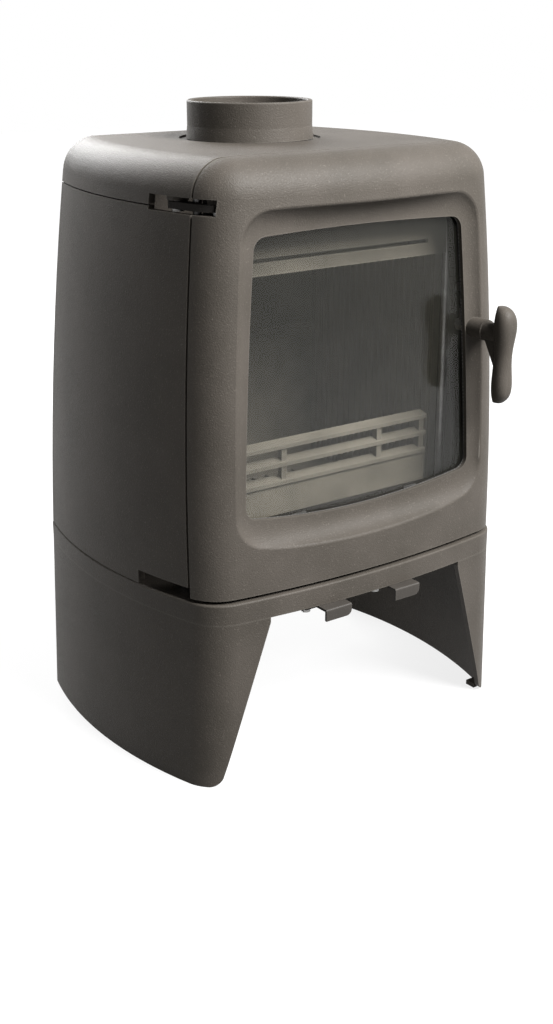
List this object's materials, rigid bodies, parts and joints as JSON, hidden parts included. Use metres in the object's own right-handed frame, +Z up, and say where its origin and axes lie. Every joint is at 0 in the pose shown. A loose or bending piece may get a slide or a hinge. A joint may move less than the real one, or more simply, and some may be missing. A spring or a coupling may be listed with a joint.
{
  "type": "wood burning stove",
  "caption": "Cast-iron wood burning stove with bowed sides, panel legs, a hinged glass door with a lever latch, sliding air controls under the base and a round top flue collar.",
  "frame": {"origin": "on the floor, in the middle of the overall width and overall depth, handle included", "axes": "+Z up, -Y the door side, +X to the right when facing the door"},
  "size_m": [0.4294, 0.3458, 0.6282],
  "materials": {
    "cast_paint": "matt heat-resistant paint over sand-cast iron",
    "inner_iron": "bare cast iron, dusty from the mould",
    "steel": "dull zinc-plated and oiled steel",
    "sheet_paint": "matt painted sheet steel",
    "rope": "braided glass-fibre rope and tape",
    "glass": "clear heat-resistant ceramic pane"
  },
  "bodies": {
    "stove": {"air_slide_guides": "cast_paint", "air_wash_deflector": "inner_iron", "baffle_plate": "inner_iron", "base_plate": "cast_paint", "collar_bolts": "steel", "collar_gasket": "rope", "collar_nuts": "steel", "deflector_screws": "steel", "flue_collar": "cast_paint", "front_frame": "cast_paint", "grate": "inner_iron", "guide_screws": "steel", "hearth_plate": "inner_iron", "keeper_screws": "steel", "latch_keeper": "cast_paint", "left_burn_plate": "inner_iron", "left_leg": "cast_paint", "left_side_plate": "cast_paint", "leg_bolts": "steel", "log_retainer": "inner_iron", "lower_hinge_pin": "steel", "rear_burn_plate": "inner_iron", "rear_plate": "cast_paint", "right_burn_plate": "inner_iron", "right_leg": "cast_paint", "right_side_plate": "cast_paint", "tie_rod_nuts": "steel", "tie_rods": "steel", "top_plate": "cast_paint", "upper_hinge_pin": "steel"},
    "door": {"door": "cast_paint", "door_glass": "glass", "glass_gasket": "rope", "glass_clips": "steel", "glass_screws": "steel", "door_rope": "rope", "upper_hinge_arm": "cast_paint", "lower_hinge_arm": "cast_paint", "hinge_arm_screws": "steel"},
    "handle": {"door_handle": "cast_paint", "handle_spindle": "steel", "latch_tongue": "steel", "latch_nut": "steel"},
    "left_air_slide": {"left_air_slide": "sheet_paint"},
    "right_air_slide": {"right_air_slide": "sheet_paint"}
  },
  "joints": [
    {"name": "door_swing", "type": "hinge", "parent": "stove", "child": "door", "pos_m": [-0.163, -0.05725, 0.2], "axis": [0, 0, -1], "range_deg": [0, 95]},
    {"name": "handle_turn", "type": "hinge", "parent": "door", "child": "handle", "pos_m": [0.143, -0.13825, 0.413], "axis": [0, -1, 0], "range_deg": [0, 90]},
    {"name": "left_air", "type": "slide", "parent": "stove", "child": "left_air_slide", "axis": [0, -1, 0], "range_m": [0, 0.03]},
    {"name": "right_air", "type": "slide", "parent": "stove", "child": "right_air_slide", "axis": [0, -1, 0], "range_m": [0, 0.03]}
  ]
}
